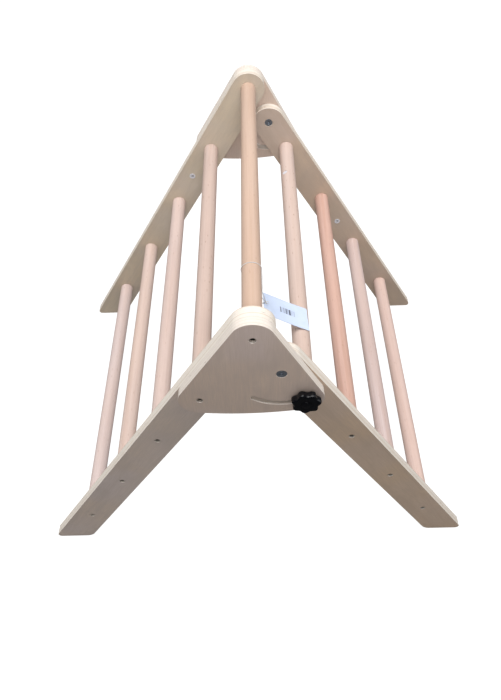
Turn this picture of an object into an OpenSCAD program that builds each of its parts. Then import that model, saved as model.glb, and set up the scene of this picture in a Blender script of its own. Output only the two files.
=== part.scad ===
// Folding children's climbing triangle: two ladder frames of plywood legs and
// beech rungs, joined by side plates, a fold pivot and two clamping star knobs.
// Frame: Z up from the floor, rungs along Y, origin on the floor at the middle
// of the footprint. "Near" is the -Y side and "far" is the +Y side.

/* [Rungs] */
// Diameter of the beech rungs
rung_d = 28; // [25:0.5:30]
// Distance between neighbouring rungs, along a leg
rung_pitch = 151; // [145:1:157]
// Clear width between the legs of the fixed frame
inner_w = 592; // [500:1:700]

/* [Plywood] */
// Thickness of the legs
ply_t = 18; // [15:1:21]
// Thickness of the side plates
plate_t = 15; // [13:1:18]
// Width of a leg
leg_w = 62; // [58:1:64]
// Height of the apex rung's axis above the floor
apex_h = 604; // [595:1:625]
// Lean of every leg from the vertical when the triangle stands open
leg_angle = 31.5; // [30:0.5:33]
// Radius of the sharp outer corner of a foot
foot_outer_r = 7; // [3:1:10]
// Radius of the blunt inner corner of a foot
foot_inner_r = 20; // [8:1:24]

/* [Fold] */
// Sideways offset of the fold pivot from the apex rung
pivot_dx = 38.3; // [37:0.1:42]
// Drop of the fold pivot below the apex rung
pivot_drop = 71.3; // [69:0.1:75]
// Running gap between a side plate and the leg that folds behind it
fold_gap = 0.2; // [0.1:0.1:0.6]
// Width of the curved slot that guides the lock stud
slot_w = 9; // [8.6:0.1:10]
// Slot travel past straight-down, on the folded side, in degrees
slot_fold_angle = 36; // [33:1:40]
// Radius of the side plate's bottom edge
plate_bottom_r = 500; // [400:10:700]
// Radius of the side plate's corner round the lock stud
plate_lock_r = 27; // [24:1:31]

/* [Lock knob] */
// Diameter over the knob's lobes
knob_d = 44; // [38:1:50]
// Number of lobes on the knob
knob_lobes = 7; // [5:1:8]
// Height of the lobed grip
knob_h = 11; // [9:0.5:14]
// Diameter of the threaded stud
stud_d = 8; // [7:0.5:8]
// Depth of the barrel nut from the end of its rung
nut_depth = 100; // [60:1:120]

/* [Hang tag] */
// Length of the card tag
tag_len = 83; // [60:1:90]
// Width of the card tag
tag_w = 44; // [40:1:55]
// Thickness of the card tag
tag_t = 0.6; // [0.4:0.1:1]
// Slope of the tag from the horizontal where it leans on a rung
tag_slope = 35; // [30:1:40]
// Place of the tag along the rungs
tag_y = -188; // [-230:0.5:200]

/* [Hidden] */
$fn = 96;

// Colours
ply_colour = "#c9b69c";
plate_colour = "#b3a18a";
beech_colour = "#e2c0a6";
apex_colour = "#dcb894";
steel_colour = "#8d939b";
screw_colour = "#3a3836";
insert_colour = "#cdc8d2";
knob_colour = "#16171a";
card_colour = "#dce8fa";
string_colour = "#ece4d6";

// Directions of the legs, seen from the near side: x to the right, z up
near = -1;
far = 1;
left = -1;
right = 1;
lean_s = sin(leg_angle);
lean_c = cos(leg_angle);

// Axes in the x-z plane. The apex is shifted so that the feet are centred
pivot_h = apex_h - pivot_drop;
left_run = apex_h * tan(leg_angle);
right_run = pivot_dx + pivot_h * tan(leg_angle);
apex_x = (left_run - right_run) / 2;
apex = [apex_x, apex_h];
pivot = [apex_x + pivot_dx, pivot_h];
// The locked rung stands level with the first rung of the fixed frame
lock_r = rung_pitch - pivot_drop / lean_c;

function along(start, side, distance) = start + distance * [side * lean_s, -lean_c];
function left_rung_axis(i) = along(apex, left, i * rung_pitch);
function right_rung_axis(i) = along(pivot, right, lock_r + (i - 1) * rung_pitch);
lock_axis = right_rung_axis(1);
left_rungs = 4;
right_rungs = 4;

// Planes along Y, measured from the middle of the triangle
left_inner = inner_w / 2;
plate_inner = left_inner + ply_t;
plate_outer = plate_inner + plate_t;
right_outer = plate_inner - fold_gap;
right_inner = right_outer - ply_t;

// How far the side plate's bottom arc and all straight edges lie inside the arcs
// that they meet, so that they cross cleanly, and the length trimmed off each foot
bottom_cross = 0.15;
tuck = 0.02;
foot_trim = 0.05;

// Wood screws with a flat cheese head and a hexagon socket
leg_head_r = 4.6;
leg_bore_r = 4.8;
leg_head_top = 4;
plate_head_r = 4.7;
plate_bore_r = 5;
plate_head_top = 5;
head_h = 3.6;
socket_r = 2.6;
socket_depth = 2.4;
shank_r = 3;
shank_hole_r = 3.3;
thread_r = 3;
pilot_r = 3.05;
thread_len = 34;
pilot_depth = thread_len + 2;
tip_h = 4;
tip_r = 0.6;

// Fold pivot: a bolt from the side plate meets a sleeve nut from the leg
pivot_bore_r = 7.7;
pivot_head_r = 7.3;
pivot_head_h = 2.4;
pivot_recess = 0.4;
pivot_bolt_r = 3;
pivot_bolt_hole_r = 3.3;
pivot_sleeve_r = 5;
pivot_run = 0.05;
pivot_step = 9.5;
pivot_socket_r = 3.2;
pivot_socket_depth = 1.8;
pivot_head_gap = 0.1;

// Lock stud, washer and knob
stud_r = stud_d / 2;
stud_run = 0.06;
stud_past_nut = 8;
stud_seat = 9;
washer_r = 11;
washer_t = 1.6;
washer_gap = 0.05;
washer_bore_r = stud_r + 0.3;
knob_gap = 0.05;
knob_base = plate_outer + washer_gap + washer_t + knob_gap;
boss_r = 9;
boss_h = 2.2;
lobe_r = 5.6;
web_r = 18.2;
nut_r = 5;
nut_run = 0.03;
nut_top = 13;
nut_bottom = -9;
nut_slot_w = 1.4;
nut_slot_depth = 1.2;
stud_hole_r = stud_r + 0.3;

// Threaded inserts for accessories, screwed into the legs' inner faces
insert_flange_r = 6.2;
insert_flange_t = 0.8;
insert_r = 5;
insert_len = 13;
insert_bore_r = 2.5;
insert_hole_r = 5.03;
left_insert_shift = 5;
left_insert_at = along(apex, left, 1.5 * rung_pitch) + left_insert_shift * [-lean_c, lean_s];
right_insert_at = along(pivot, right, lock_r + 1.5 * rung_pitch);

// Tag and string
tag_lift = 0.2;
tag_reach = 3.5;
tag_yaw = 4;
tag_hole_r = 1.5;
tag_hole_in = 4;
tag_corner_r = 2;
tag_rest = lock_axis + (rung_d / 2 + tag_lift) * [sin(tag_slope), cos(tag_slope)];
tag_eye_x = tag_reach - tag_len + tag_hole_in;
string_r = 0.6;
string_gap = 0.25;
loop_r = rung_d / 2 + string_r + string_gap;
loop_shift = 9;
loop_y = tag_y - loop_shift;
knot_r = 1.4;
knot_lift = 3;
leave_angle = 20;
tail = 1.4;

// Rounded corner helpers: the centre of the arc at corner p, and the ends of the
// straight edges there, which lie a little inside the arc
function unit(v) = v / norm(v);
function half_corner(a, p, b) = acos(unit(a - p) * unit(b - p)) / 2;
function corner_centre(a, p, b, r) =
    p + unit(unit(a - p) + unit(b - p)) * r / sin(half_corner(a, p, b));
function edge_end(from, p, centre, r) =
    centre + (r - tuck) * unit(p + unit(from - p) * (centre - p) * unit(from - p) - centre);
function corner_cut(a, p, b, r) =
    r == 0 ? [p] : [
        edge_end(a, p, corner_centre(a, p, b, r), r),
        edge_end(b, p, corner_centre(a, p, b, r), r)
    ];

// Convex outline with a radius of its own at each corner
module rounded_outline(points, radii) {
    n = len(points);
    cut = [
        for (i = [0:n - 1])
            each corner_cut(points[(i + n - 1) % n], points[i], points[(i + 1) % n], radii[i])
    ];
    polygon(cut);
    for (i = [0:n - 1]) {
        if (radii[i] > 0) {
            translate(corner_centre(points[(i + n - 1) % n], points[i], points[(i + 1) % n], radii[i]))
                circle(radii[i]);
        }
    }
}

// Extrudes an x-z outline between two planes on one side, measured from the middle
module board(side, inner, outer) {
    y_front = side == near ? -outer : inner;
    translate([0, y_front + outer - inner, 0])
        rotate([90, 0, 0])
            linear_extrude(outer - inner)
                children();
}

// Places a shape drawn along +Z so that it runs inward from depth y on one side
module inward(side, at, y) {
    translate([at.x, side * y, at.y])
        rotate([side * 90, 0, 0])
            children();
}

// A round hole drilled inward from depth y
module drilled(side, at, y, r, depth) {
    over = 1;
    inward(side, at, y + over)
        cylinder(h = depth + over, r = r);
}

// Straight leg with one round end at height h on the z axis, leaning to the right.
// It runs just past the floor, where the foot is cut flat
module leaning_leg(h) {
    half = leg_w / 2;
    end_z = -foot_trim;
    foot = (h - end_z) * tan(leg_angle);
    half_foot = half / lean_c;
    top = [0, h];
    across = (half - tuck) * [lean_c, lean_s];
    difference() {
        union() {
            translate(top)
                circle(half);
            rounded_outline(
                [top - across, [foot - half_foot, end_z], [foot + half_foot, end_z], top + across],
                [0, foot_inner_r, foot_outer_r, 0]
            );
        }
        translate([foot - leg_w, -leg_w])
            square([2 * leg_w, leg_w]);
    }
}

module leg_outline(top, side) {
    translate([top.x, 0])
        mirror([side == left ? 1 : 0, 0])
            leaning_leg(top.y);
}

// Hole for a rung screw, counterbored from the outer face
module screw_hole(side, at, outer, bore_r, head_top, depth) {
    drilled(side, at, outer, bore_r, head_top + head_h);
    drilled(side, at, outer, shank_hole_r, depth);
}

module left_leg(side) {
    color(ply_colour)
        difference() {
            board(side, left_inner, plate_inner)
                leg_outline(apex, left);
            for (i = [0:1])
                drilled(side, left_rung_axis(i), plate_inner, shank_hole_r, ply_t + 1);
            for (i = [2:left_rungs])
                screw_hole(side, left_rung_axis(i), plate_inner, leg_bore_r, leg_head_top, ply_t + 1);
            insert_hole(side, left_insert_at, left_inner);
        }
}

module right_leg(side) {
    color(ply_colour)
        difference() {
            board(side, right_inner, right_outer)
                leg_outline(pivot, right);
            drilled(side, pivot, right_outer, pivot_sleeve_r + pivot_run, ply_t + 1);
            inward(side, pivot, right_inner + pivot_recess + pivot_head_h)
                cylinder(h = ply_t, r = pivot_bore_r);
            drilled(side, lock_axis, right_outer, stud_r + stud_run, ply_t + 1);
            for (i = [2:right_rungs])
                screw_hole(side, right_rung_axis(i), right_outer, leg_bore_r, leg_head_top, ply_t + 1);
            insert_hole(side, right_insert_at, right_inner);
        }
}

// Blind hole in a leg's inner face for a threaded insert
module insert_hole(side, at, inner) {
    inward(side, at, inner + insert_len)
        cylinder(h = insert_len + 1, r = insert_hole_r);
}

// Rounded triangle: arcs round the apex rung, the first rung and the lock stud,
// with a bottom edge on one large arc that just crosses both lower arcs
module plate_outline() {
    apex_r = leg_w / 2;
    foot = left_rung_axis(1);
    span = lock_axis.x - foot.x;
    reach_left = plate_bottom_r - apex_r;
    reach_right = plate_bottom_r - plate_lock_r;
    mid_x = foot.x + (span + (reach_left ^ 2 - reach_right ^ 2) / span) / 2;
    mid_z = foot.y + sqrt(reach_left ^ 2 - (mid_x - foot.x) ^ 2);
    middle = [mid_x, mid_z];
    edge = lock_axis - apex;
    edge_angle = atan2(edge.x, -edge.y) - asin((apex_r - plate_lock_r) / norm(edge));
    left_out = [-lean_c, lean_s];
    right_out = [cos(edge_angle), sin(edge_angle)];
    polygon([
        apex + (apex_r - tuck) * left_out, foot + (apex_r - tuck) * left_out, foot,
        lock_axis, lock_axis + (plate_lock_r - tuck) * right_out, apex + (apex_r - tuck) * right_out
    ]);
    translate(apex)
        circle(apex_r);
    translate(foot)
        circle(apex_r);
    translate(lock_axis)
        circle(plate_lock_r);
    intersection() {
        translate(middle)
            circle(plate_bottom_r - bottom_cross, $fn = 720);
        polygon([
            foot, lock_axis,
            lock_axis + 2 * plate_lock_r * unit(lock_axis - middle),
            foot + 2 * apex_r * unit(foot - middle)
        ]);
    }
}

// Curved slot about the pivot, from the open stop to past the folded place
module slot_outline() {
    open_dir = [lean_s, -lean_c];
    fold_dir = [-sin(slot_fold_angle), -cos(slot_fold_angle)];
    far_reach = 2 * lock_r;
    translate(pivot) {
        translate(lock_r * open_dir)
            circle(slot_w / 2);
        translate(lock_r * fold_dir)
            circle(slot_w / 2);
        intersection() {
            difference() {
                circle(lock_r + slot_w / 2);
                circle(lock_r - slot_w / 2);
            }
            polygon([[0, 0], far_reach * fold_dir, [0, -far_reach], far_reach * open_dir]);
        }
    }
}

module side_plate(side) {
    color(plate_colour)
        difference() {
            board(side, plate_inner, plate_outer)
                plate_outline();
            for (i = [0:1])
                screw_hole(side, left_rung_axis(i), plate_outer, plate_bore_r, plate_head_top, plate_t + 1);
            drilled(side, pivot, plate_outer, pivot_bore_r, pivot_recess + pivot_head_h);
            drilled(side, pivot, plate_outer, pivot_bolt_hole_r, plate_t);
            inward(side, pivot, plate_outer - pivot_step)
                cylinder(h = plate_t, r = pivot_sleeve_r + pivot_run);
            board(side, plate_inner - 1, plate_outer + 1)
                slot_outline();
        }
}

// Plain rung with softened ends
module rung_body(at, half_len) {
    chamfer = 0.8;
    r = rung_d / 2;
    translate([at.x, half_len, at.y])
        rotate([90, 0, 0])
            rotate_extrude()
                polygon([
                    [0, 0], [r - chamfer, 0], [r, chamfer],
                    [r, 2 * half_len - chamfer], [r - chamfer, 2 * half_len], [0, 2 * half_len]
                ]);
}

// Rung with a screw pilot hole in each end
module screwed_rung(at, half_len, shade) {
    color(shade)
        difference() {
            rung_body(at, half_len);
            for (side = [near, far])
                drilled(side, at, half_len, pilot_r, pilot_depth);
        }
}

// Rung held by the two lock studs, which reach cross-drilled barrel nuts
module lock_rung() {
    color(beech_colour)
        difference() {
            rung_body(lock_axis, right_inner);
            for (side = [near, far]) {
                drilled(side, lock_axis, right_inner, stud_hole_r, nut_depth + stud_past_nut + 2);
                nut_place(side)
                    translate([0, 0, nut_bottom])
                        cylinder(h = rung_d, r = nut_r + nut_run);
            }
        }
}

// Local frame of a barrel nut: its length runs up along the leg
module nut_place(side) {
    translate([lock_axis.x, side * (right_inner - nut_depth), lock_axis.y])
        rotate([0, -leg_angle, 0])
            children();
}

module barrel_nut(side) {
    color(insert_colour)
        difference() {
            nut_place(side)
                difference() {
                    translate([0, 0, nut_bottom])
                        cylinder(h = nut_top - nut_bottom, r = nut_r);
                    translate([-nut_r, -nut_slot_w / 2, nut_top - nut_slot_depth])
                        cube([2 * nut_r, nut_slot_w, nut_slot_depth + 1]);
                }
            drilled(side, lock_axis, right_inner, stud_r + stud_run, nut_depth + rung_d);
        }
}

// Screw drawn along +Z from the top of its head
module wood_screw(head_r, through) {
    difference() {
        cylinder(h = head_h, r = head_r);
        translate([0, 0, -1])
            cylinder(h = socket_depth + 1, r = socket_r, $fn = 6);
    }
    translate([0, 0, head_h])
        cylinder(h = through - head_h + thread_len - tip_h, r = shank_r);
    translate([0, 0, through + thread_len - tip_h])
        cylinder(h = tip_h, r1 = thread_r, r2 = tip_r);
}

module left_screws(side) {
    color(screw_colour)
        for (i = [2:left_rungs])
            inward(side, left_rung_axis(i), plate_inner - leg_head_top)
                wood_screw(leg_head_r, ply_t - leg_head_top);
}

module right_screws(side) {
    color(screw_colour)
        for (i = [2:right_rungs])
            inward(side, right_rung_axis(i), right_outer - leg_head_top)
                wood_screw(leg_head_r, ply_t - leg_head_top);
}

module plate_screws(side) {
    color(screw_colour)
        for (i = [0:1])
            inward(side, left_rung_axis(i), plate_outer - plate_head_top)
                wood_screw(plate_head_r, ply_t + plate_t - plate_head_top);
}

module pivot_bolt(side) {
    grip = ply_t + plate_t - pivot_recess - 2 * pivot_head_h;
    color(steel_colour)
        inward(side, pivot, plate_outer - pivot_recess) {
            difference() {
                cylinder(h = pivot_head_h, r = pivot_head_r);
                translate([0, 0, -1])
                    cylinder(h = pivot_socket_depth + 1, r = pivot_socket_r, $fn = 6);
            }
            translate([0, 0, pivot_head_h])
                cylinder(h = grip - pivot_head_h, r = pivot_bolt_r);
        }
}

// Sleeve nut: its head sits in the folding leg and its sleeve is the hinge pin
module pivot_sleeve(side) {
    head_seat = right_inner + pivot_recess + pivot_head_h - pivot_head_gap;
    sleeve_end = plate_outer - pivot_step;
    color(steel_colour)
        difference() {
            union() {
                inward(side, pivot, sleeve_end)
                    cylinder(h = sleeve_end - head_seat, r = pivot_sleeve_r);
                inward(side, pivot, head_seat)
                    cylinder(h = pivot_head_h, r = pivot_head_r);
            }
            drilled(side, pivot, sleeve_end, pivot_bolt_r + pivot_run, ply_t + 2);
            inward(side, pivot, head_seat)
                cylinder(h = pivot_head_h + 1, r = pivot_socket_r, $fn = 6);
        }
}

module insert(side, at, inner) {
    color(insert_colour)
        difference() {
            union() {
                inward(side, at, inner + insert_len)
                    cylinder(h = insert_len, r = insert_r);
                inward(side, at, inner)
                    cylinder(h = insert_flange_t, r = insert_flange_r);
            }
            inward(side, at, inner + insert_len - 1)
                cylinder(h = insert_len + 1, r = insert_bore_r);
        }
}

module lock_washer(side) {
    color(steel_colour)
        inward(side, lock_axis, plate_outer + washer_gap + washer_t)
            difference() {
                cylinder(h = washer_t, r = washer_r);
                translate([0, 0, -1])
                    cylinder(h = washer_t + 2, r = washer_bore_r);
            }
}

module lock_stud(side) {
    tip = right_inner - nut_depth - stud_past_nut;
    color(steel_colour)
        inward(side, lock_axis, knob_base + stud_seat)
            cylinder(h = knob_base + stud_seat - tip, r = stud_r);
}

// Star knob: a round web with lobes and a low boss on its outer face
module lock_knob(side) {
    lobe_at = knob_d / 2 - lobe_r;
    color(knob_colour)
        difference() {
            union() {
                inward(side, lock_axis, knob_base + knob_h)
                    linear_extrude(knob_h)
                        star_outline(lobe_at);
                inward(side, lock_axis, knob_base + knob_h + boss_h)
                    cylinder(h = boss_h, r = boss_r);
            }
            inward(side, lock_axis, knob_base + stud_seat)
                cylinder(h = stud_seat + 1, r = stud_r);
        }
}

module star_outline(lobe_at) {
    circle(web_r);
    for (i = [0:knob_lobes - 1])
        rotate(270 + i * 360 / knob_lobes)
            translate([lobe_at, 0])
                circle(lobe_r);
}

// Local frame of the tag: x down the slope, y across it, z out of its upper face
module tag_place() {
    translate([tag_rest.x, tag_y, tag_rest.y])
        rotate([0, tag_slope, 0])
            rotate([0, 0, tag_yaw])
                children();
}

module hang_tag() {
    half_w = tag_w / 2;
    color(card_colour)
        tag_place()
            linear_extrude(tag_t)
                difference() {
                    rounded_outline(
                        [
                            [tag_reach - tag_len, -half_w], [tag_reach, -half_w],
                            [tag_reach, half_w], [tag_reach - tag_len, half_w]
                        ],
                        [tag_corner_r, tag_corner_r, tag_corner_r, tag_corner_r]
                    );
                    translate([tag_eye_x, 0])
                        circle(tag_hole_r);
                }
}

// A tube between two points
module strand(a, b) {
    d = b - a;
    translate(a)
        rotate([0, acos(d.z / norm(d)), atan2(d.y, d.x)])
            cylinder(h = norm(d), r = string_r);
}

// Loop round the apex rung and two strands down to the knot at the tag's hole
module tag_string() {
    eye = [
        tag_rest.x + tag_eye_x * cos(tag_yaw) * cos(tag_slope),
        tag_y + tag_eye_x * sin(tag_yaw),
        tag_rest.y - tag_eye_x * cos(tag_yaw) * sin(tag_slope)
    ];
    knot = eye + [0, 0, knot_lift];
    leave = [apex.x + loop_r * cos(leave_angle), loop_y, apex.y - loop_r * sin(leave_angle)];
    color(string_colour) {
        translate([apex.x, loop_y, apex.y])
            rotate([90, 0, 0])
                rotate_extrude()
                    translate([loop_r, 0])
                        circle(string_r, $fn = 24);
        strand(leave, knot);
        translate(knot)
            sphere(knot_r, $fn = 24);
        strand(knot, eye - [0, 0, tail]);
    }
}

left_leg(near);  // left_leg_near
left_leg(far);  // left_leg_far
side_plate(near);  // side_plate_near
side_plate(far);  // side_plate_far
screwed_rung(apex, left_inner, apex_colour);  // apex_rung
screwed_rung(left_rung_axis(1), left_inner, beech_colour);  // left_rung_1
screwed_rung(left_rung_axis(2), left_inner, beech_colour);  // left_rung_2
screwed_rung(left_rung_axis(3), left_inner, beech_colour);  // left_rung_3
screwed_rung(left_rung_axis(4), left_inner, beech_colour);  // left_rung_4
plate_screws(near);  // plate_screws_near
plate_screws(far);  // plate_screws_far
left_screws(near);  // left_screws_near
left_screws(far);  // left_screws_far
pivot_bolt(near);  // pivot_bolt_near
pivot_bolt(far);  // pivot_bolt_far
pivot_sleeve(near);  // pivot_sleeve_near
pivot_sleeve(far);  // pivot_sleeve_far
insert(near, left_insert_at, left_inner);  // left_insert_near
insert(far, left_insert_at, left_inner);  // left_insert_far
right_leg(near);  // right_leg_near
right_leg(far);  // right_leg_far
lock_rung();  // right_rung_1
screwed_rung(right_rung_axis(2), right_inner, beech_colour);  // right_rung_2
screwed_rung(right_rung_axis(3), right_inner, beech_colour);  // right_rung_3
screwed_rung(right_rung_axis(4), right_inner, beech_colour);  // right_rung_4
right_screws(near);  // right_screws_near
right_screws(far);  // right_screws_far
insert(near, right_insert_at, right_inner);  // right_insert_near
insert(far, right_insert_at, right_inner);  // right_insert_far
barrel_nut(near);  // barrel_nut_near
barrel_nut(far);  // barrel_nut_far
lock_washer(near);  // lock_washer_near
lock_washer(far);  // lock_washer_far
lock_stud(near);  // lock_stud_near
lock_stud(far);  // lock_stud_far
lock_knob(near);  // lock_knob_near
lock_knob(far);  // lock_knob_far
hang_tag();
tag_string();
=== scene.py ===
import math
import random

import bmesh
import bpy
from mathutils import Matrix, Vector


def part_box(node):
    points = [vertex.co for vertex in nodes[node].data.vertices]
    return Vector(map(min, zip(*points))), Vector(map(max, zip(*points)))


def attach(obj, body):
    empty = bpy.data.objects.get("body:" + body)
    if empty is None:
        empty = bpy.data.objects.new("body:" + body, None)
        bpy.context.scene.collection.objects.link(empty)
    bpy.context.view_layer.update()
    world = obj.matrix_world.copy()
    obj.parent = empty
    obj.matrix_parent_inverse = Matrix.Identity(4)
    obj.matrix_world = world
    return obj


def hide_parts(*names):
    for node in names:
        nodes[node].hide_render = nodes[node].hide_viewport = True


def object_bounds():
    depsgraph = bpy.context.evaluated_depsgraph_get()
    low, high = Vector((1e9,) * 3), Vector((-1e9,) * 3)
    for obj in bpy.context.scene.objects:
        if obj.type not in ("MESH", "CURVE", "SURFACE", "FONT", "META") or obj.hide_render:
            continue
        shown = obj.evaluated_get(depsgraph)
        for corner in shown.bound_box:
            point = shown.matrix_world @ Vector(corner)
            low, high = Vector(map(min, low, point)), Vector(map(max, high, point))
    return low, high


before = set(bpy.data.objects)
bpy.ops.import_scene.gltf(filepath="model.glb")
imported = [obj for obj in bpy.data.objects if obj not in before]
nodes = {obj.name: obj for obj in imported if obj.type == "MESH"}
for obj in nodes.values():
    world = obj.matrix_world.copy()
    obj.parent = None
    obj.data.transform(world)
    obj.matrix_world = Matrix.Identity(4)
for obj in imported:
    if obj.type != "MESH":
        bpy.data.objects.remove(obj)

cad_low, cad_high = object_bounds()
scene = bpy.context.scene

# ---------------------------------------------------------------- camera

CAMERA_PLACE = (0.010181, -0.881882, 1.25049)
PAN, TILT, ROLL = (math.radians(a) for a in (-1.087, 50.232, -2.258))
SENSOR = 36.0
LENS = 34.09046


def make_camera():
    """Looks down over the near side plate. Pan turns it right of +Y, tilt turns it down."""
    forward = Vector((math.sin(PAN) * math.cos(TILT), math.cos(PAN) * math.cos(TILT), -math.sin(TILT)))
    right = Vector((math.cos(PAN), -math.sin(PAN), 0.0))
    up = right.cross(forward)
    rolled_right = math.cos(ROLL) * right + math.sin(ROLL) * up
    rolled_up = -math.sin(ROLL) * right + math.cos(ROLL) * up
    data = bpy.data.cameras.new("camera")
    data.sensor_width = SENSOR
    data.lens = LENS
    data.clip_start = 0.01
    data.clip_end = 100.0
    camera = bpy.data.objects.new("camera", data)
    scene.collection.objects.link(camera)
    turn = Matrix((rolled_right, rolled_up, -forward)).transposed()
    camera.matrix_world = Matrix.Translation(CAMERA_PLACE) @ turn.to_4x4()
    scene.camera = camera


make_camera()

# ---------------------------------------------------------------- nodes for materials


class Shader:
    """A material made of nodes. Its place is the point on the piece, in metres."""

    def __init__(self, name):
        self.material = bpy.data.materials.new(name)
        self.material.use_nodes = True
        self.tree = self.material.node_tree
        self.surface = self.tree.nodes["Principled BSDF"]
        self.coordinates = self.node("ShaderNodeTexCoord")
        self.place = self.coordinates.outputs["Object"]

    def node(self, kind, inputs=None, **settings):
        made = self.tree.nodes.new(kind)
        for key, value in settings.items():
            setattr(made, key, value)
        for key, value in (inputs or {}).items():
            self.join(value, made.inputs[key])
        return made

    def join(self, value, socket):
        if isinstance(value, bpy.types.NodeSocket):
            self.tree.links.new(value, socket)
        elif socket.type == "RGBA" and len(value) == 3:
            socket.default_value = (*value, 1.0)
        else:
            socket.default_value = value

    def set(self, **values):
        for key, value in values.items():
            self.join(value, self.surface.inputs[key.replace("_", " ")])

    def math(self, operation, a, b=0.0):
        return self.node("ShaderNodeMath", {0: a, 1: b}, operation=operation).outputs[0]

    def add(self, a, b):
        return self.math("ADD", a, b)

    def times(self, a, b):
        return self.math("MULTIPLY", a, b)

    def moved(self, vector, scale=(1, 1, 1), turn=(0, 0, 0), shift=(0, 0, 0)):
        inputs = {"Vector": vector, "Scale": scale, "Rotation": turn, "Location": shift}
        return self.node("ShaderNodeMapping", inputs).outputs[0]

    def noise(self, vector, detail=2.0, roughness=0.5, distortion=0.0):
        inputs = {"Vector": vector, "Scale": 1.0, "Detail": detail, "Roughness": roughness,
                  "Distortion": distortion}
        return self.node("ShaderNodeTexNoise", inputs).outputs["Fac"]

    def cells(self, vector):
        return self.node("ShaderNodeTexVoronoi", {"Vector": vector, "Scale": 1.0, "Randomness": 1.0})

    def step(self, value, low, high, to_low=0.0, to_high=1.0):
        """Goes smoothly from one value to the other as its input crosses the range."""
        inputs = {"Value": value, "From Min": low, "From Max": high, "To Min": to_low, "To Max": to_high}
        made = self.node("ShaderNodeMapRange", inputs, interpolation_type="SMOOTHSTEP")
        return made.outputs[0]

    def mix(self, factor, a, b):
        made = self.node("ShaderNodeMix", data_type="RGBA", blend_type="MIX", clamp_factor=True)
        self.join(factor, made.inputs[0])
        self.join(a, made.inputs[6])
        self.join(b, made.inputs[7])
        return made.outputs[2]

    def axis(self, vector, letter):
        return self.node("ShaderNodeSeparateXYZ", {0: vector}).outputs[letter]

    def bump(self, height, depth, strength=1.0):
        inputs = {"Height": height, "Distance": depth, "Strength": strength}
        self.set(Normal=self.node("ShaderNodeBump", inputs).outputs[0])


def scaled(colour, share):
    return tuple(c * share for c in colour)


def toned(colour, red, green, blue):
    return (colour[0] * red, colour[1] * green, colour[2] * blue)


# ---------------------------------------------------------------- materials

LEAN = math.radians(31.5)
GRAIN_TURN = {"left": -LEAN, "right": LEAN, "plate": 0.0}


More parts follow.
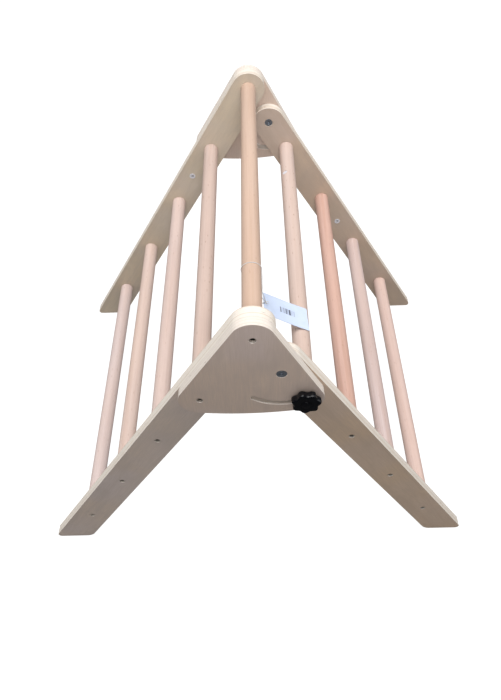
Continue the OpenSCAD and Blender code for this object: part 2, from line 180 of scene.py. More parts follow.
def plywood(name, grain, sheet_start, ply, face, edge, seed, glue_show=0.45, dark_plies=0.75):
    """Birch plywood: rotary-cut face veneer, and stacked plies wherever a surface doesn't face along Y."""
    s = Shader(name)
    turned = s.moved(s.place, turn=(0, GRAIN_TURN[grain], 0), shift=(seed, seed * 0.37, seed * 0.71))

    # Face veneer, from its widest clouds of tone down to its pores
    broad = s.noise(s.moved(turned, scale=(14, 9, 3)), detail=3, distortion=0.4)
    figure = s.noise(s.moved(turned, scale=(70, 12, 6)), detail=4, roughness=0.6, distortion=0.8)
    fibre = s.noise(s.moved(turned, scale=(1100, 300, 42)), detail=2, roughness=0.6)
    pores = s.step(s.noise(s.moved(turned, scale=(1900, 500, 90)), detail=1), 0.66, 0.78)
    cool = s.noise(s.moved(turned, scale=(5, 5, 9), shift=(3.0, 1.0, 2.0)), detail=2)
    veneer = s.mix(s.step(cool, 0.4, 0.62), toned(face, 1.02, 0.99, 0.93), toned(face, 0.98, 1.0, 1.07))
    veneer = s.mix(s.step(figure, 0.42, 0.72, 0.0, 0.7), veneer, scaled(face, 0.82))
    veneer = s.mix(s.step(broad, 0.3, 0.7, 0.0, 0.5), veneer, toned(face, 1.06, 1.05, 1.01))
    veneer = s.mix(s.step(fibre, 0.3, 0.7, 0.0, 0.6), veneer, scaled(face, 0.87))
    # Random blotches across the face: the darker ones are painted shade, the lighter ones paler wood
    blotch_place = s.moved(turned, scale=(17, 11, 10), shift=(1.0, 4.0, 2.0))
    blotches = s.noise(blotch_place, detail=4, roughness=0.55, distortion=0.6)
    veneer = s.mix(s.step(blotches, 0.48, 0.72, 0.0, 0.55), veneer, toned(face, 0.82, 0.83, 0.84))
    veneer = s.mix(s.step(blotches, 0.44, 0.28, 0.0, 0.45), veneer, toned(face, 1.12, 1.11, 1.05))
    veneer = s.mix(s.times(pores, 0.3), veneer, scaled(face, 0.62))

    # Plies: how deep a point lies in the sheet, counted in plies, with a slight wobble
    depth = s.math("DIVIDE", s.math("SUBTRACT", s.axis(s.place, "Y"), sheet_start), ply)
    wobble = s.noise(s.moved(turned, scale=(60, 20, 25)), detail=2)
    depth = s.add(depth, s.times(s.math("SUBTRACT", wobble, 0.5), 0.35))
    within = s.math("FRACT", depth)
    crossed = s.step(s.math("PINGPONG", depth, 1.0), 0.4, 0.6)
    glue = s.step(s.math("ABSOLUTE", s.math("SUBTRACT", within, 0.5)), 0.40, 0.49)
    broken = s.noise(s.moved(turned, scale=(90, 30, 22)), detail=3)
    glue = s.times(glue, s.step(broken, 0.35, 0.65, 0.25, 1.0))
    end_fibre = s.noise(s.moved(turned, scale=(700, 260, 500)), detail=3, roughness=0.7)
    # Voids in the cross plies, painted dark as painted shade inside the open gaps
    shaded_voids = s.step(s.noise(s.moved(turned, scale=(75, 600, 75)), detail=1), 0.74, 0.80)
    shaded_voids = s.times(shaded_voids, crossed)
    plies = s.mix(s.times(crossed, 0.4), edge, toned(edge, 0.95, 0.90, 0.84))
    # A few plies of each sheet, spread unevenly, are darker
    which = s.math("SINE", s.add(s.times(s.math("FLOOR", depth), 12.99), seed))
    odd = s.step(s.math("FRACT", s.times(which, 437.5)), 0.66, 0.7)
    plies = s.mix(s.times(odd, dark_plies), plies, toned(edge, 0.78, 0.68, 0.58))
    plies = s.mix(s.step(end_fibre, 0.35, 0.75, 0.0, 0.4), plies, scaled(edge, 0.84))
    plies = s.mix(s.times(glue, glue_show), plies, (0.40, 0.27, 0.17))
    # Painted shade in the voids
    plies = s.mix(s.times(shaded_voids, 0.85), plies, (0.16, 0.10, 0.06))

    facing = s.math("ABSOLUTE", s.axis(s.coordinates.outputs["Normal"], "Y"))
    flat = s.step(facing, 0.72, 0.92)
    rough_face = s.add(s.times(fibre, 0.16), 0.42)
    rough_edge = s.add(s.times(end_fibre, 0.14), 0.56)
    s.set(Base_Color=s.mix(flat, plies, veneer))
    s.set(Roughness=s.mix(flat, rough_edge, rough_face), Specular_IOR_Level=0.32)
    grain_height = s.add(s.times(fibre, 0.6), s.times(pores, -0.5))
    edge_height = s.add(s.times(end_fibre, 0.5), s.times(s.add(glue, shaded_voids), -0.7))
    s.bump(s.mix(flat, edge_height, grain_height), 0.00012, 0.8)
    return s.material


def beech(name, light, dark, seed, rays, streaks):
    """Lacquered beech dowel, its grain along Y: growth bands, streaks, pores and short brown rays."""
    s = Shader(name)
    shifted = s.moved(s.place, shift=(seed * 1.3, seed * 0.9, seed * 2.1))
    bend = s.noise(s.moved(shifted, scale=(22, 3.2, 22)), detail=3, distortion=0.5)
    streak = s.noise(s.moved(shifted, scale=(130, 2.6, 130)), detail=4, roughness=0.62)
    rings = s.noise(s.moved(shifted, scale=(420, 7, 420)), detail=2, roughness=0.5, distortion=0.6)
    fibre = s.noise(s.moved(shifted, scale=(2300, 90, 2300)), detail=2, roughness=0.65)
    colour = s.mix(s.step(streak, 0.36, 0.68, 0.0, streaks), light, dark)
    colour = s.mix(s.step(bend, 0.35, 0.7, 0.0, 0.5), colour, toned(light, 1.03, 0.98, 0.92))
    colour = s.mix(s.step(rings, 0.45, 0.7, 0.0, 0.28), colour, scaled(dark, 0.92))
    colour = s.mix(s.step(fibre, 0.55, 0.8, 0.0, 0.35), colour, scaled(dark, 0.82))

    spots = s.cells(s.moved(shifted, scale=(230, 62, 230)))
    few = s.step(s.axis(spots.outputs["Color"], "X"), 0.62, 0.66)
    ray = s.times(s.step(spots.outputs["Distance"], 0.12, 0.26, 1.0, 0.0), few)
    big = s.cells(s.moved(shifted, scale=(190, 62, 190), shift=(0.4, 0.2, 0.7)))
    knot = s.times(s.step(big.outputs["Distance"], 0.10, 0.22, 1.0, 0.0),
                   s.step(s.axis(big.outputs["Color"], "Y"), 0.84, 0.87))
    colour = s.mix(s.times(ray, 0.42 * rays), colour, toned(dark, 0.72, 0.6, 0.5))
    colour = s.mix(s.times(knot, 0.5 * rays), colour, toned(dark, 0.6, 0.48, 0.38))

    s.set(Base_Color=colour, Roughness=s.add(s.times(fibre, 0.2), 0.34), Specular_IOR_Level=0.4)
    s.set(Coat_Weight=0.12, Coat_Roughness=0.3)
    s.bump(s.add(s.times(fibre, 0.6), s.times(ray, -0.5)), 0.00008, 0.7)
    return s.material


def steel(name, colour, roughness, brushed=(900, 60, 900), blotches=0.3, metallic=1.0):
    """Plated steel with fine brush marks and a little uneven tarnish."""
    s = Shader(name)
    marks = s.noise(s.moved(s.place, scale=brushed), detail=3, roughness=0.7)
    cloud = s.noise(s.moved(s.place, scale=(160, 160, 160)), detail=3)
    tone = s.mix(s.step(cloud, 0.35, 0.7, 0.0, blotches), colour, scaled(colour, 0.7))
    s.set(Base_Color=s.mix(s.step(marks, 0.4, 0.8, 0.0, 0.3), tone, scaled(colour, 0.82)))
    s.set(Metallic=metallic, Roughness=s.add(s.times(marks, 0.2), roughness - 0.1))
    s.bump(marks, 0.00004, 0.6)
    return s.material


def threaded_steel(name, colour, pitch):
    """A plated stud, its thread a ridge for each pitch along Y, with painted shade in the grooves."""
    s = Shader(name)
    turns = s.math("DIVIDE", s.axis(s.place, "Y"), pitch)
    ridge = s.math("PINGPONG", turns, 0.5)
    grime = s.noise(s.moved(s.place, scale=(300, 300, 300)), detail=3)
    # The thread's grooves are painted darker: painted shade
    s.set(Base_Color=s.mix(s.step(ridge, 0.05, 0.45), scaled(colour, 0.45), colour))
    s.set(Metallic=1.0, Roughness=s.add(s.times(grime, 0.25), 0.25))
    s.bump(ridge, 0.0006, 1.0)
    return s.material


def black_oxide(name):
    """Blackened screw steel, with a little bare metal where a driver has rubbed."""
    s = Shader(name)
    cloud = s.noise(s.moved(s.place, scale=(900, 900, 900)), detail=3, roughness=0.6)
    rub = s.step(s.noise(s.moved(s.place, scale=(2400, 2400, 2400)), detail=2), 0.62, 0.8)
    colour = s.mix(cloud, (0.018, 0.017, 0.017), (0.045, 0.042, 0.04))
    s.set(Base_Color=s.mix(s.times(rub, 0.5), colour, (0.2, 0.19, 0.18)))
    s.set(Metallic=0.7, Roughness=s.add(s.times(cloud, 0.3), 0.35))
    s.bump(cloud, 0.00003, 0.7)
    return s.material


def moulded_plastic(name):
    """Glossy black thermoplastic: slight flow marks, and a faint grain that breaks up reflections."""
    s = Shader(name)
    flow = s.noise(s.moved(s.place, scale=(120, 60, 120)), detail=2, distortion=0.8)
    grain = s.noise(s.moved(s.place, scale=(2600, 2600, 2600)), detail=2)
    dust = s.step(s.noise(s.moved(s.place, scale=(3600, 3600, 3600)), detail=1), 0.72, 0.8)
    colour = s.mix(flow, (0.0012, 0.0014, 0.0026), (0.003, 0.0034, 0.0056))
    s.set(Base_Color=s.mix(s.times(dust, 0.12), colour, (0.2, 0.2, 0.2)))
    s.set(Roughness=s.add(s.times(flow, 0.12), s.add(s.times(grain, 0.08), 0.14)), Specular_IOR_Level=0.36)
    s.bump(s.add(grain, s.times(flow, 0.6)), 0.00003, 0.5)
    return s.material


def printed_card(name):
    """Pale card with paper fibres, and a generic block of bars printed across it."""
    s = Shader(name)
    fibre = s.noise(s.moved(s.place, scale=(1500, 600, 1500)), detail=4, roughness=0.7)
    mottle = s.noise(s.moved(s.place, scale=(55, 55, 55)), detail=3)
    card = s.mix(s.step(mottle, 0.3, 0.7), (0.59, 0.68, 0.86), (0.63, 0.72, 0.90))
    card = s.mix(s.step(fibre, 0.35, 0.75, 0.0, 0.35), card, (0.55, 0.64, 0.82))
    along, across = s.axis(s.place, "X"), s.axis(s.place, "Y")
    ink = None
    for middle, half_width, strength in BARS:
        off = s.math("ABSOLUTE", s.math("SUBTRACT", along, middle))
        bar = s.times(s.step(off, half_width, half_width + 0.00025, 1.0, 0.0), strength)
        ink = bar if ink is None else s.math("MAXIMUM", ink, bar)
    side = s.math("ABSOLUTE", s.math("SUBTRACT", across, BAR_MIDDLE))
    ink = s.times(ink, s.step(side, BAR_HALF_LENGTH, BAR_HALF_LENGTH + 0.0003, 1.0, 0.0))
    ink = s.times(ink, s.step(s.axis(s.coordinates.outputs["Normal"], "Z"), 0.6, 0.8))
    worn = s.times(ink, s.step(fibre, 0.2, 0.7, 1.0, 0.8))
    s.set(Base_Color=s.mix(worn, card, (0.035, 0.035, 0.07)))
    s.set(Roughness=s.add(s.times(fibre, 0.2), 0.5), Specular_IOR_Level=0.35)
    s.bump(fibre, 0.00003, 0.7)
    return s.material


def cotton(name):
    """Undyed twisted cotton: fibres along each ply, a little fuzz and grime."""
    s = Shader(name)
    fibre = s.noise(s.moved(s.place, scale=(4200, 4200, 4200)), detail=3, roughness=0.7)
    cloud = s.noise(s.moved(s.place, scale=(220, 220, 220)), detail=2)
    colour = s.mix(s.step(fibre, 0.3, 0.75), (0.74, 0.74, 0.74), (0.58, 0.58, 0.59))
    s.set(Base_Color=s.mix(s.step(cloud, 0.45, 0.75, 0.0, 0.4), colour, (0.50, 0.50, 0.51)))
    s.set(Roughness=0.9, Sheen_Weight=0.35, Sheen_Roughness=0.5, Specular_IOR_Level=0.15)
    s.bump(fibre, 0.00012, 0.9)
    return s.material


def paper(name, shade, glow=0.0):
    """Matt paper. With a glow it stays white to the eye, and shadows on it stay faint."""
    s = Shader(name)
    cloud = s.noise(s.moved(s.place, scale=(6, 6, 6)), detail=3)
    colour = s.mix(cloud, (shade, shade, shade), scaled((shade, shade, shade), 1.06))
    s.set(Base_Color=colour, Roughness=0.95, Specular_IOR_Level=0.1)
    s.set(Emission_Color=(1.0, 1.0, 1.0), Emission_Strength=glow)
    return s.material


# ---------------------------------------------------------------- places taken from the frame


def middle(name):
    """The middle of a CAD node's box."""
    low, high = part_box(name)
    return (low + high) / 2


LEG_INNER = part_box("left_leg_far")[0].y
PLATE_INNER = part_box("side_plate_far")[0].y
PLATE_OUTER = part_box("side_plate_far")[1].y
RIGHT_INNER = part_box("right_leg_far")[0].y
LEG_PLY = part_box("left_leg_far")[1].y - LEG_INNER
PLATE_PLY = PLATE_OUTER - PLATE_INNER
APEX = middle("apex_rung")
LOCK = middle("right_rung_1")
SIDES = {"near": -1, "far": 1}

# Printed bars: middle and half width along the card, in metres from its middle, and darkness
BARS = [(-0.0098, 0.0011, 0.8), (-0.0066, 0.0004, 0.4), (-0.0040, 0.0007, 0.65), (-0.0017, 0.0004, 0.5),
        (0.0006, 0.0010, 0.9), (0.0032, 0.0005, 0.7), (0.0070, 0.0016, 1.0), (0.0103, 0.0004, 0.45),
        (0.0128, 0.0004, 0.35), (0.0155, 0.0007, 0.4)]
BAR_MIDDLE = 0.0008
BAR_HALF_LENGTH = 0.0052

# ---------------------------------------------------------------- finish of the CAD nodes


def paint(name, material):
    slots = nodes[name].data.materials
    slots.clear()
    slots.append(material)


def soften(name, width, segments=2):
    """Rounds a CAD node's sharp edges with modifiers. Its own mesh is only set to shade smoothly."""
    o = nodes[name]
    weld = o.modifiers.new("weld", "WELD")
    weld.merge_threshold = 1e-5
    flatten = o.modifiers.new("one face per plane", "DECIMATE")
    flatten.decimate_type = "DISSOLVE"
    flatten.angle_limit = math.radians(0.1)
    bevel = o.modifiers.new("bevel", "BEVEL")
    bevel.width = width
    bevel.segments = segments
    bevel.limit_method = "ANGLE"
    bevel.angle_limit = math.radians(40)
    normals = o.modifiers.new("flat faces stay flat", "WEIGHTED_NORMAL")
    normals.weight = 100
    for polygon in o.data.polygons:
        polygon.use_smooth = True


LEG_FACES = {"left_leg_near": (0.635, 0.53, 0.465), "left_leg_far": (0.61, 0.515, 0.41),
             "right_leg_near": (0.645, 0.49, 0.37), "right_leg_far": (0.53, 0.415, 0.33)}
PLATE_FACE = (0.61, 0.49, 0.42)
LEG_EDGE = (0.80, 0.74, 0.67)
PLATE_EDGE = (0.775, 0.71, 0.65)
LEG_PLIES = 13
PLATE_PLIES = 11
LEG_ROUND = 0.001
PLATE_ROUND = 0.0015


def birch(name, grain, inner, thickness, plies, face, edge, seed, **shows):
    """Paints a plywood node, whose sheet is this thick from its inner plane outwards."""
    low_y = inner if name.endswith("far") else -inner - thickness
    paint(name, plywood(f"birch_{name}", grain, low_y, thickness / plies, face, edge, seed, **shows))


for number, (end, side) in enumerate(SIDES.items()):
    for half, inner in (("left", LEG_INNER), ("right", RIGHT_INNER)):
        leg = f"{half}_leg_{end}"
        leg_seed = 3.1 + 5.7 * number + 1.9 * side * inner
        birch(leg, half, inner, LEG_PLY, LEG_PLIES, LEG_FACES[leg], LEG_EDGE, leg_seed)
        soften(leg, LEG_ROUND)
    plate = f"side_plate_{end}"
    plate_seed = 11.3 + 4.1 * number
    birch(plate, "plate", PLATE_INNER, PLATE_PLY, PLATE_PLIES, PLATE_FACE, PLATE_EDGE, plate_seed,
          glue_show=0.2, dark_plies=0.3)
    soften(plate, PLATE_ROUND, 3)

# Each rung's pale tone, how many short rays it shows, and how strong its streaks are
RUNGS = [("apex_rung", (0.57, 0.42, 0.335), 0.5, 0.9), ("left_rung_1", (0.595, 0.47, 0.42), 1.0, 0.5),
         ("left_rung_2", (0.67, 0.535, 0.49), 0.8, 0.6), ("left_rung_3", (0.695, 0.55, 0.49), 0.7, 0.6),
         ("left_rung_4", (0.70, 0.575, 0.545), 0.7, 0.5), ("right_rung_1", (0.62, 0.49, 0.435), 1.2, 0.5),
         ("right_rung_2", (0.63, 0.42, 0.355), 0.5, 1.3), ("right_rung_3", (0.66, 0.535, 0.51), 0.6, 1.0),
         ("right_rung_4", (0.735, 0.56, 0.505), 0.6, 0.7)]
for seed, (name, tone, rays, streaks) in enumerate(RUNGS):
    paint(name, beech(f"beech_{name}", tone, toned(tone, 0.89, 0.83, 0.79), 2.3 + 3.7 * seed, rays, streaks))

dark_screw = black_oxide("screw_black")
pivot_nickel = steel("pivot_nickel", (0.30, 0.325, 0.37), 0.3, blotches=0.6, metallic=0.7)
zinc = steel("bright_zinc", (0.82, 0.81, 0.85), 0.42, metallic=0.25)
washer_zinc = steel("washer_zinc", (0.74, 0.74, 0.75), 0.36, brushed=(600, 900, 600), metallic=0.7)
stud_zinc = threaded_steel("stud_zinc", (0.62, 0.63, 0.65), 0.00125)
for end in SIDES:
    for name in (f"plate_screws_{end}", f"left_screws_{end}", f"right_screws_{end}"):
        paint(name, dark_screw)
        soften(name, 0.0002)
    for name in (f"pivot_bolt_{end}", f"pivot_sleeve_{end}"):
        paint(name, pivot_nickel)
        soften(name, 0.0003)
    for name in (f"left_insert_{end}", f"right_insert_{end}", f"barrel_nut_{end}"):
        paint(name, zinc)
        soften(name, 0.00025)
    paint(f"lock_washer_{end}", washer_zinc)
    soften(f"lock_washer_{end}", 0.0002)
    paint(f"lock_stud_{end}", stud_zinc)

# ---------------------------------------------------------------- new pieces


def add_piece(name, mesh, material, node):
    """Links a new smooth piece that stands in for a CAD node."""
    o = bpy.data.objects.new(name, mesh)
    scene.collection.objects.link(o)
    mesh.materials.append(material)
    for polygon in mesh.polygons:
        polygon.use_smooth = True
    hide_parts(node)
    return o


LOBE_TIP = 0.022
VALLEY = 0.0184
RIM_INSET = 0.0032
LOBED_RADIUS = 0.0148
LOBES = 7
KNOB_TURN = math.radians(-90 - 4)
KNOB_STEPS = 252


def star_outline():
    """The grip's outline, even lobes that run smoothly into the valleys, and its outward normals."""
    points = []
    for i in range(KNOB_STEPS):
        a = 2 * math.pi * i / KNOB_STEPS
        r = (LOBE_TIP + VALLEY) / 2 + (LOBE_TIP - VALLEY) / 2 * math.cos(LOBES * a)
        points.append(r * Vector((math.cos(a + KNOB_TURN), math.sin(a + KNOB_TURN))))
    normals = []
    for i in range(KNOB_STEPS):
        run = points[(i + 1) % KNOB_STEPS] - points[i - 1]
        normals.append(Vector((run.y, -run.x)).normalized())
    return points, normals


def star_knob(end, material):
    """Lobed grip with rounded rims, a flat face and a low cap in a ring groove."""
    side = SIDES[end]
    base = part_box(f"lock_knob_{end}")[0 if side > 0 else 1].y
    outline, normals = star_outline()
    mesh = bmesh.new()

    def ring(points, height):
        return [mesh.verts.new((LOCK.x + p.x, base + side * height, LOCK.z + p.y)) for p in points]

    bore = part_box(f"lock_stud_{end}")[1].x - LOCK.x + 0.0001
    rings = [ring([bore * p.normalized() for p in outline], 0.0)]
    # Side wall: height above the seat, and how far it lies inside the outline
    for height, inset in ((0.0, 0.0018), (0.0003, 0.0009), (0.0009, 0.0003), (0.0018, 0.00005), (0.0050, 0.0),
                          (0.0080, 0.00015), (0.0092, 0.0004), (0.0100, 0.00085), (0.0106, 0.0015),
                          (0.0109, 0.0023), (0.0110, RIM_INSET)):
        rings.append(ring([p - inset * n for p, n in zip(outline, normals)], height))
    # Face: radius, height, and how much of the lobes is left as they fade into the groove and the cap
    rim = [p - RIM_INSET * n for p, n in zip(outline, normals)]
    for radius, height, lobed in ((0.0130, 0.01108, 0.7), (0.0108, 0.01112, 0.3), (0.0094, 0.01113, 0.0),
                                  (0.0086, 0.0111, 0.0), (0.0083, 0.0104, 0.0), (0.0079, 0.0103, 0.0),
                                  (0.0076, 0.0110, 0.0), (0.0072, 0.0117, 0.0), (0.0064, 0.01205, 0.0),
                                  (0.0050, 0.0123, 0.0), (0.0034, 0.01245, 0.0), (0.0018, 0.0125, 0.0),
                                  (0.0007, 0.01252, 0.0)):
        shape = [(1 - lobed) * p.normalized() + lobed * p / LOBED_RADIUS for p in rim]
        rings.append(ring([radius * p for p in shape], height))
    for a, b in zip(rings, rings[1:]):
        for i in range(KNOB_STEPS):
            j = (i + 1) % KNOB_STEPS
            mesh.faces.new((a[i], a[j], b[j], b[i]))
    mesh.faces.new(rings[-1])
    bmesh.ops.recalc_face_normals(mesh, faces=mesh.faces)
    data = bpy.data.meshes.new(f"star_knob_{end}")
    mesh.to_mesh(data)
    mesh.free()
    o = add_piece(f"star_knob_{end}", data, material, f"lock_knob_{end}")
    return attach(o, f"{end}_knob")


TAG_SLOPE = math.radians(35)
TAG_YAW = math.radians(4)
TAG_L, TAG_W, TAG_T = 0.083, 0.044, 0.0006
TAG_CORNER = 0.002
EYE_IN, EYE_R = 0.004, 0.0015
TAG_TURN = Matrix.Rotation(TAG_SLOPE, 4, "Y") @ Matrix.Rotation(TAG_YAW, 4, "Z")
TAG_FRAME = Matrix.Translation(middle("hang_tag")) @ TAG_TURN


def card_bend(x, y):
    """How far the card's middle plane lifts: a shallow curl towards its free end and one lifted corner."""
    end = max(0.0, (x - 0.005) / (TAG_L / 2))
    corner = max(0.0, (x / TAG_L + y / TAG_W - 0.35))
    return 0.0011 * end ** 2 + 0.0016 * corner ** 2 + 0.00012 * math.sin(x * 140) * math.cos(y * 120)


def round_point(degrees):
    return Vector((math.cos(math.radians(degrees)), math.sin(math.radians(degrees))))


def card_tag(material):
    """The card with round corners and its hole, cut finely enough to curl."""
    outline = []
    for cx, cy, start in ((1, 1, 0), (-1, 1, 90), (-1, -1, 180), (1, -1, 270)):
        for k in range(7):
            corner = Vector((cx * (TAG_L / 2 - TAG_CORNER), cy * (TAG_W / 2 - TAG_CORNER)))
            outline.append(corner + TAG_CORNER * round_point(start + 15 * k))
    eye = [Vector((EYE_IN - TAG_L / 2, 0)) + EYE_R * round_point(15 * k) for k in range(24)]
    curve = bpy.data.curves.new("card_outline", "CURVE")
    curve.dimensions = "2D"
    curve.fill_mode = "BOTH"
    curve.extrude = TAG_T / 2 - 0.00008
    curve.bevel_depth = 0.00008
    curve.bevel_resolution = 1
    for points in (outline, eye):
        spline = curve.splines.new("POLY")
        spline.points.add(len(points) - 1)
        for p, (x, y) in zip(spline.points, points):
            p.co = (x, y, 0, 1)
        spline.use_cyclic_u = True
    drawn = bpy.data.objects.new("card_outline", curve)
    scene.collection.objects.link(drawn)
    data = bpy.data.meshes.new_from_object(drawn.evaluated_get(bpy.context.evaluated_depsgraph_get()))
    bpy.data.objects.remove(drawn)
    mesh = bmesh.new()
    mesh.from_mesh(data)
    bmesh.ops.remove_doubles(mesh, verts=mesh.verts, dist=1e-6)
    for axis, half in ((0, TAG_L / 2), (1, TAG_W / 2)):
        cuts = int(half * 2 / 0.004)
        for k in range(1, cuts):
            at, along = [0, 0, 0], [0, 0, 0]
            at[axis], along[axis] = -half + k * 2 * half / cuts, 1
            bmesh.ops.bisect_plane(mesh, geom=mesh.verts[:] + mesh.edges[:] + mesh.faces[:],
                                   plane_co=at, plane_no=along, dist=1e-7)
    for v in mesh.verts:
        v.co.z += card_bend(v.co.x, v.co.y)
    mesh.to_mesh(data)
    mesh.free()
    data.name = "card_tag"
    o = add_piece("card_tag", data, material, "hang_tag")
    for polygon in data.polygons:
        polygon.use_smooth = False
    o.matrix_world = TAG_FRAME
    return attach(o, "tag")


STRAND_R = 0.00033
STRING_R = 0.0006
STRING_LAY = 0.0028
LOOP_SLANT = 0.0011
LOOP_Y = middle("hang_tag").y - 0.0055
EYE = TAG_FRAME @ Vector((EYE_IN - TAG_L / 2, 0, 0))


def between(before, start, end, after, t):
    """A point on a Catmull-Rom curve from start to end, at a share t of the way."""
    bend = 2 * before - 5 * start + 4 * end - after
    twist = 3 * start - before - 3 * end + after
    return 0.5 * (2 * start + (end - before) * t + bend * t ** 2 + twist * t ** 3)


def smooth_path(points, spacing, closed=False):
    """Evenly spaced points on a Catmull-Rom curve through the given ones."""
    count = len(points)
    dense = []
    for i in range(count if closed else count - 1):
        near = [i - 1, i, i + 1, i + 2]
        at = [k % count if closed else min(max(k, 0), count - 1) for k in near]
        dense += [between(*(points[k] for k in at), step / 24) for step in range(24)]
    dense.append(dense[0] if closed else points[-1])
    even = [dense[0]]
    walked = 0.0
    for a, b in zip(dense, dense[1:]):
        length = (b - a).length
        while walked + length >= spacing * len(even) and length > 0:
            even.append(a.lerp(b, (spacing * len(even) - walked) / length))
        walked += length
    return even


def circle(u, v, angle):
    return math.cos(angle) * u + math.sin(angle) * v


def twisted(mesh, path, radius, ply_radius, lay, plies=2, sides=8):
    """Adds a cord of plies laid round each other along the path, as tubes in the mesh."""
    carried = (path[1] - path[0]).normalized().orthogonal()
    frames = []
    for i, p in enumerate(path):
        run = (path[min(i + 1, len(path) - 1)] - path[max(i - 1, 0)]).normalized()
        carried = (carried - run * carried.dot(run)).normalized()
        frames.append((p, carried.copy(), run.cross(carried)))
    for k in range(plies):
        walked = 0.0
        rings = []
        for i, (p, u, v) in enumerate(frames):
            walked += (p - frames[i - 1][0]).length if i else 0.0
            middle_of_ply = p + (radius - ply_radius) * circle(u, v, 2 * math.pi * (walked / lay + k / plies))
            rings.append([mesh.verts.new(middle_of_ply + ply_radius * circle(u, v, 2 * math.pi * s / sides))
                          for s in range(sides)])
        for a, b in zip(rings, rings[1:]):
            for s in range(sides):
                t = (s + 1) % sides
                mesh.faces.new((a[s], a[t], b[t], b[s]))
        mesh.faces.new(reversed(rings[0]))
        mesh.faces.new(rings[-1])


def round_rung(knot, radius):
    """Over the rung, from its side where the cord comes straight up to where it leaves for the knot."""
    centre = Vector((APEX.x, LOOP_Y, APEX.z))
    to_knot = Vector((knot.x - centre.x, 0, knot.z - centre.z))
    end = math.atan2(to_knot.z, to_knot.x) - math.acos(radius / to_knot.length) + 2 * math.pi
    steps = 32
    points = []
    for k in range(steps + 1):
        on_rung = radius * circle(Vector((1, 0, 0)), Vector((0, 0, 1)), end * k / steps)
        points.append(centre + on_rung - Vector((0, LOOP_SLANT * math.sin(math.pi * k / steps), 0)))
    return points


def overhand(knot, size):
    """A trefoil's worth of cord round the knot's middle."""
    points = []
    for k in range(40):
        a = 2 * math.pi * k / 40
        out = 2 + math.cos(3 * a)
        turn = Vector((out * math.cos(2 * a), out * math.sin(2 * a), 1.3 * math.sin(3 * a)))
        points.append(knot + size * turn)
    return points


def cotton_string(material):
    """A knotted loop round the apex rung and the tag's hole, with two short tails."""
    mesh = bmesh.new()
    rng = random.Random(5)

    def cord(points, spacing=0.0003, closed=False):
        twisted(mesh, smooth_path(points, spacing, closed), STRING_R, STRAND_R, STRING_LAY)

    rung_r = (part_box("apex_rung")[1].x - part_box("apex_rung")[0].x) / 2
    knot = EYE + Vector((0, 0, 0.003))
    apart = Vector((0, 0.0007, 0))
    arc = round_rung(knot, rung_r + STRING_R + 0.00015)
    # One strand hangs straight from the rung's side and bends to the knot, the other runs straight
    hang = Vector((arc[0].x + 0.0002, arc[0].y, knot.z))
    slack = [hang + Vector((0, 0, height)) + apart for height in (0.024, 0.034, 0.046, 0.058)]
    rise = [knot, knot.lerp(slack[0], 0.45) + Vector((0.0004, 0, -0.0003))] + slack
    fall = [arc[-1].lerp(knot, t) - apart * math.sin(math.pi * t) for t in (0.2, 0.4, 0.6, 0.8, 1.0)]
    cord(rise + arc + fall, 0.00035)
    # The small loop: down through the hole, under the card's edge and back up over it
    across, over, out = (TAG_FRAME.to_3x3() @ Vector(v) for v in ((0, 1, 0), (0, 0, 1), (-1, 0, 0)))
    cord([knot, EYE + 0.0018 * over + 0.0002 * across, EYE - 0.0012 * over + 0.0003 * across,
          EYE - 0.0019 * over + 0.0026 * out, EYE - 0.0010 * over + 0.0050 * out - 0.0002 * across,
          EYE + 0.0010 * over + 0.0050 * out - 0.0004 * across, EYE + 0.0022 * over + 0.0026 * out, knot])
    cord(overhand(knot, 0.00042), closed=True)
    for side in (-1, 1):
        droop = -0.0022 + 0.0004 * rng.random()
        tail = ((0, 0, 0), (0.0012, 0.0014 * side, 0.0003), (0.0030, 0.0020 * side, -0.0006),
                (0.0046, 0.0022 * side, droop))
        cord([knot + Vector(v) for v in tail])
    bmesh.ops.recalc_face_normals(mesh, faces=mesh.faces)
    data = bpy.data.meshes.new("cotton_string")
    mesh.to_mesh(data)
    mesh.free()
    o = add_piece("cotton_string", data, material, "tag_string")
    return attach(o, "tag")


plastic = moulded_plastic("black_plastic")
for end in SIDES:
    star_knob(end, plastic)
card_tag(printed_card("blue_card"))
cotton_string(cotton("cotton_cord"))

# ---------------------------------------------------------------- floor, light and view


def aimed(name, data, place, target):
    """A lamp of the studio at its place, turned to its target and not seen itself."""
    light = bpy.data.objects.new(name, data)
    scene.collection.objects.link(light)
    light.location = place
    light.rotation_euler = (Vector(target) - Vector(place)).to_track_quat("-Z", "Y").to_euler()
    light.visible_camera = False


def softbox(name, place, target, width, height, power):
    data = bpy.data.lights.new(name, "AREA")
    data.shape = "RECTANGLE"
    data.size = width
    data.size_y = height
    data.energy = power
    aimed(name, data, place, target)


def soft_spot(name, place, target, cone, radius, power):
    data = bpy.data.lights.new(name, "SPOT")
    data.energy = power
    data.spot_size = cone
    data.spot_blend = 1.0
    data.shadow_soft_size = radius
    aimed(name, data, place, target)


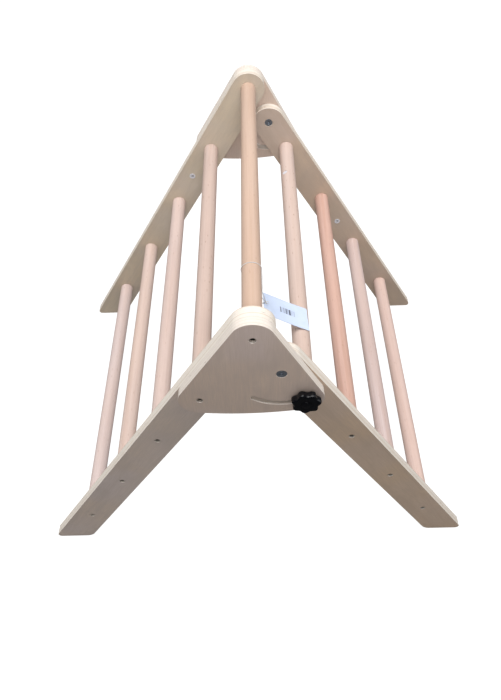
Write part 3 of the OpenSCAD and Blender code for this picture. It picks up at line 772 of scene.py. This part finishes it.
def ground(name, height, material):
    """A wide square floor at this height from the object's lowest point."""
    half = 6.0
    corners = [(-half, -half, 0), (half, -half, 0), (half, half, 0), (-half, half, 0)]
    mesh = bpy.data.meshes.new(name)
    mesh.from_pydata(corners, [], [(0, 1, 2, 3)])
    mesh.materials.append(material)
    o = bpy.data.objects.new(name, mesh)
    o.location.z = cad_low.z + height
    scene.collection.objects.link(o)
    return o


def room_light(seen, on_pieces, in_gloss):
    """An even white room: white to the eye, dim on the pieces and nearly dark in their reflections."""
    world = bpy.data.worlds.new("studio")
    world.use_nodes = True
    scene.world = world
    tree = world.node_tree
    rays = tree.nodes.new("ShaderNodeLightPath")
    strength = on_pieces
    for ray, level in (("Is Glossy Ray", in_gloss), ("Is Camera Ray", seen)):
        chosen = tree.nodes.new("ShaderNodeMapRange")
        chosen.inputs["To Max"].default_value = level
        if isinstance(strength, bpy.types.NodeSocket):
            tree.links.new(strength, chosen.inputs["To Min"])
        else:
            chosen.inputs["To Min"].default_value = strength
        tree.links.new(rays.outputs[ray], chosen.inputs["Value"])
        strength = chosen.outputs[0]
    background = tree.nodes["Background"]
    background.inputs["Color"].default_value = (1, 1, 1, 1)
    tree.links.new(strength, background.inputs["Strength"])


def studio():
    """White floor, a wide softbox overhead, two weak ones at the sides and a soft spot on the far apex."""
    floor = ground("floor", -0.0006, paper("white_paper", 0.2, 0.98))
    floor.visible_diffuse = False
    floor.visible_glossy = False
    floor.visible_transmission = False
    floor.visible_shadow = False
    # The floor that lights the object from below, without the glow of the one that is seen
    under = ground("floor_bounce", -0.0003, paper("grey_paper", 0.42))
    under.visible_camera = False
    under.visible_glossy = False
    under.visible_shadow = False
    softbox("softbox_top", (0.0, -0.25, 3.6), (0, -0.25, 0.3), 3.4, 1.9, 112)
    softbox("softbox_left", (-2.2, 0.0, 1.1), (0, 0, 0.35), 1.2, 1.2, 8)
    softbox("softbox_right", (2.2, 0.0, 1.1), (0, 0, 0.35), 1.2, 1.2, 8)
    soft_spot("far_spot", (0.1, -0.9, 1.3), (0.09, 0.3, 0.48), math.radians(34), 0.25, 33)
    room_light(seen=1.0, on_pieces=0.36, in_gloss=0.07)
    scene.view_settings.view_transform = "Standard"


studio()
